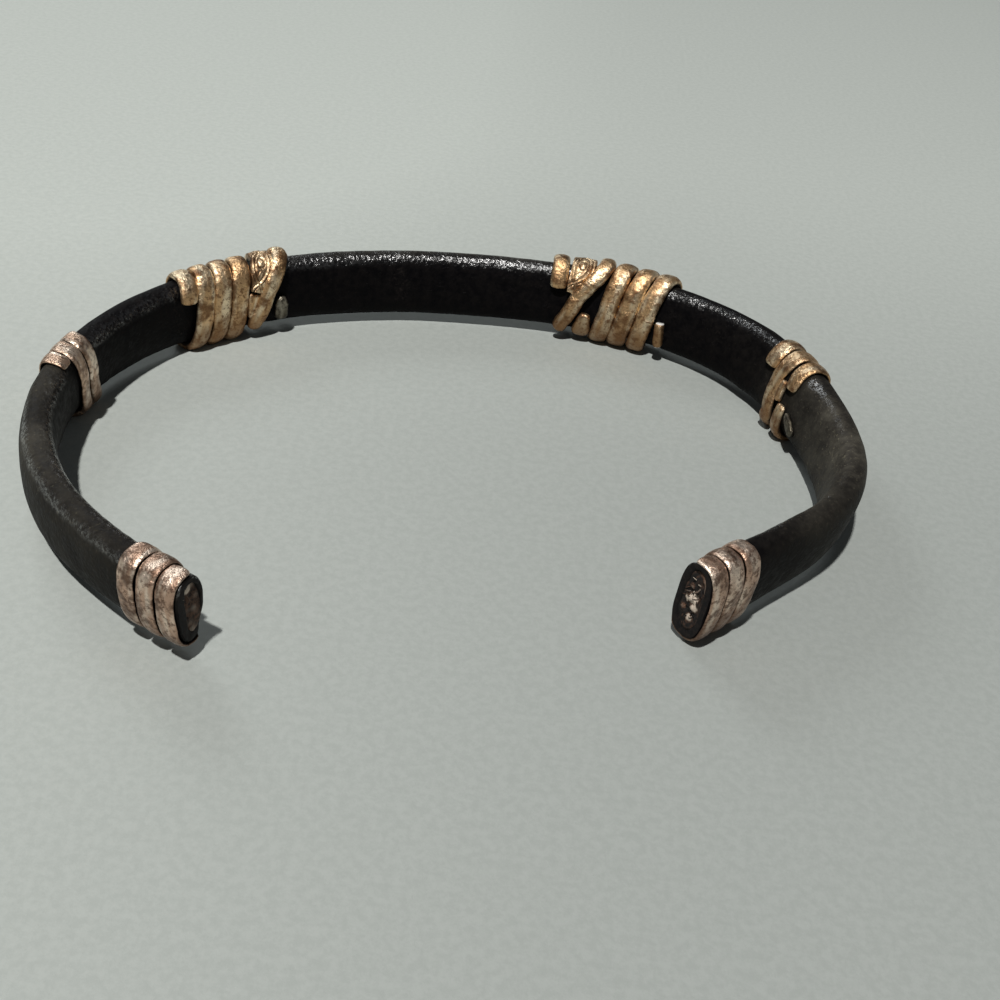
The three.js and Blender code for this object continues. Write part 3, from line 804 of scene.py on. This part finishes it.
def windings(materials):
    for index, row in enumerate(WINDINGS):
        binding = BINDINGS[row["binding"]]
        start, end = row["ends"]
        step, span = row["step"], row["span"]
        angle = np.linspace(start, end, round(abs(end - start) / WIRE_STEP) + 1)
        made = steps_made(angle, step, span) - steps_made(np.array([start]), step, span)
        leaning = row.get("tilt", 0) * np.cos(np.radians(angle - row.get("tilt_at", 0)))
        turns = row["first"] + row["turn"] * made + leaning
        distance = binding["at"] + turns * TURN_PITCH * binding["share"]
        pinch = 1 - row.get("pinch", 0) * np.clip(-np.cos(np.radians(angle - 25)), 0, 1)
        width = WIRE_WIDTH * binding["share"] * pinch
        thickness = thickness_at(angle, binding["flat"], binding.get("under", 1))
        seat = binding.get("seat", SEAT_CLEARANCE)
        wire(row["node"], distance, angle, width, thickness, materials[row["binding"]], 20 + 7 * index, seat)


def laid_wires(materials):
    for index, row in enumerate(LAID_WIRES):
        binding = BINDINGS[row["binding"]]
        angle, turns, share = laid_rows(row["rows"], WIRE_STEP)
        distance = binding["at"] + turns * TURN_PITCH * binding["share"]
        width = share * WIRE_WIDTH
        thickness = thickness_at(angle, row["thick"])
        material = materials[row.get("metal", row["binding"])]
        seat = binding.get("seat", SEAT_CLEARANCE)
        bare_and_glint = row.get("bare_and_glint", 0.0)
        wire(row["node"], distance, angle, width, thickness, material, 90 + 7 * index, seat, bare_and_glint)


def laid_rows(rows, step):
    """Even angles from a laid piece's first row to its last, with its place and share of width at each."""
    start, end = rows[0][0], rows[-1][0]
    angle = np.linspace(start, end, max(9, round(abs(end - start) / step) + 1))
    return angle, table(rows, 1, angle), table(rows, 2, angle)


def stamped(across, along):
    """The strip's stamped relief, from -1 in grooves to 1 on lines: pointed loops, bosses and fans."""
    phase = along / LOOP_LENGTH - np.floor(along / LOOP_LENGTH)
    half_loop = 0.78 * np.sin(math.pi * phase) ** 0.8
    off_loop = np.abs(across) - half_loop
    line = 1 - np.abs(off_loop) / 0.11
    groove = 1 - np.abs(np.abs(off_loop) - 0.2) / 0.09
    boss = 1 - np.hypot(across, (phase - 0.45) * LOOP_LENGTH) / 0.26
    ring = 1 - np.abs(np.hypot(across, (phase - 0.45) * LOOP_LENGTH) - 0.36) / 0.09
    fan = (1 - np.abs(np.sin(across * 6 + phase * 10)) / 0.4) * (phase > 0.66) * (off_loop < -0.15)
    raised = np.clip(np.maximum.reduce([line, boss * 1.4, 0.35 + 0 * line]), 0, 1)
    sunk = np.clip(np.maximum.reduce([groove, ring, 0.7 * fan]), 0, 1)
    return raised - sunk * (raised < 0.6)


def strips(material):
    for index, row in enumerate(STRIPS):
        binding = BINDINGS[row["binding"]]
        angle, turns, width = laid_rows(row["rows"], STRIP_STEP)
        distance = binding["at"] + turns * TURN_PITCH * binding["share"]
        half = width * STRIP_WIDTH / 2
        point, normal, side, travelled = seats(distance, angle)
        share = np.linspace(1, -1, STRIP_COLUMNS)
        crown = 0.06 * (1 - share**2)
        edge = 0.2 * np.clip((np.abs(share) - 0.93) / 0.07, 0, 1) ** 2
        rings, crevices = [], []
        for i in range(len(point)):
            raised = stamped(share * width[i], np.full(STRIP_COLUMNS, travelled[i]))
            tall = STRIP_THICKNESS + 0.06 + crown + 0.6 * RELIEF_HEIGHT * raised - edge
            top = point[i] + side[i] * (share * half[i])[:, None] + normal[i] * tall[:, None]
            under = point[i] - normal[i] * (SEAT_CLEARANCE - CONTACT)
            rings.append(np.concatenate([top, [under - side[i] * half[i], under + side[i] * half[i]]]))
            crevices.append(np.append(np.clip(0.25 - raised, 0, 1), [1, 1]))
        rings = np.array(rings)
        flat = rings.reshape(-1, 3)
        hub = np.repeat(rings.mean(1), rings.shape[1], axis=0)
        dents = 0.03 * noise_at(flat, 0.9, 60 + index) + 0.015 * noise_at(flat, 2.6, 70 + index)
        flat = flat + unit(flat - hub) * dents[:, None]
        points, faces = capped(flat.reshape(rings.shape))
        crevice = np.append(np.concatenate(crevices), [0.5, 0.5])
        even = np.ones(len(points))
        values = {"crevice": crevice, "bare_and_glint": 0 * even, "streak": 0.62 * even, "painted_shade": 0 * even}
        piece = link_mesh(row["node"] + "_stamped", points, faces, values)
        dress(piece, material, row["node"])


# Studio


def floor():
    ticks = np.linspace(-FLOOR_SIZE / 2, FLOOR_SIZE / 2, FLOOR_CELLS + 1)
    points = [(x, y, 0.0) for y in ticks for x in ticks]
    row = FLOOR_CELLS + 1
    corners = [j * row + i for j in range(FLOOR_CELLS) for i in range(FLOOR_CELLS)]
    faces = [(a, a + 1, a + row + 1, a + row) for a in corners]
    mesh = bpy.data.meshes.new("floor")
    mesh.from_pydata(points, [], faces)
    piece = bpy.data.objects.new("floor", mesh)
    bpy.context.scene.collection.objects.link(piece)
    piece.data.materials.append(floor_material())


def area_light(name, place, size, power, colour):
    """A square soft light, aimed at the cuff."""
    light = bpy.data.lights.new(name, "AREA")
    light.size = size
    light.energy = power
    light.color = colour
    lamp = bpy.data.objects.new(name, light)
    lamp.location = place
    lamp.rotation_euler = (-Vector(place)).to_track_quat("-Z", "Y").to_euler()
    bpy.context.scene.collection.objects.link(lamp)


def studio():
    world = bpy.data.worlds.new("studio")
    world.use_nodes = True
    background = world.node_tree.nodes["Background"]
    background.inputs["Color"].default_value = (0.93, 0.97, 1.0, 1)
    background.inputs["Strength"].default_value = WORLD_LIGHT
    bpy.context.scene.world = world
    bpy.context.scene.view_settings.view_transform = "Standard"
    for row in LIGHTS:
        area_light(**row)


def camera():
    data = bpy.data.cameras.new("camera")
    data.sensor_width = SENSOR_WIDTH
    data.lens = FOCAL_LENGTH_PX * SENSOR_WIDTH / PICTURE_SIDE_PX
    data.clip_start = 0.002
    data.clip_end = 20
    pitch = math.radians(CAMERA_PITCH)
    roll = math.radians(CAMERA_ROLL)
    forward = Vector((0, math.cos(pitch), -math.sin(pitch)))
    level = Vector((1, 0, 0))
    above = level.cross(forward)
    right = level * math.cos(roll) + above * math.sin(roll)
    up = above * math.cos(roll) - level * math.sin(roll)
    turn = Matrix((right, up, -forward)).transposed().to_4x4()
    eye = bpy.data.objects.new("camera", data)
    eye.matrix_world = Matrix.Translation(Vector(CAMERA_PLACE) * MM) @ turn
    bpy.context.scene.collection.objects.link(eye)
    bpy.context.scene.camera = eye


# The scene


camera()
floor()
studio()
leather_band()
core_fibres()
golden = metal_material("aged_golden_wire", *GOLDEN)
pinkish = metal_material("aged_pinkish_wire", *PINKISH)
wire_materials = {
    "left_tip": pinkish,
    "left_side": metal_material("aged_cream_wire", *CREAM),
    "back_left": golden,
    "back_right": golden,
    "right_side": golden,
    "right_tip": pinkish,
    "dull": metal_material("dull_wire_end", *DULL),
}
windings(wire_materials)
laid_wires(wire_materials)
strips(metal_material("aged_stamped_strip", *GOLDEN))
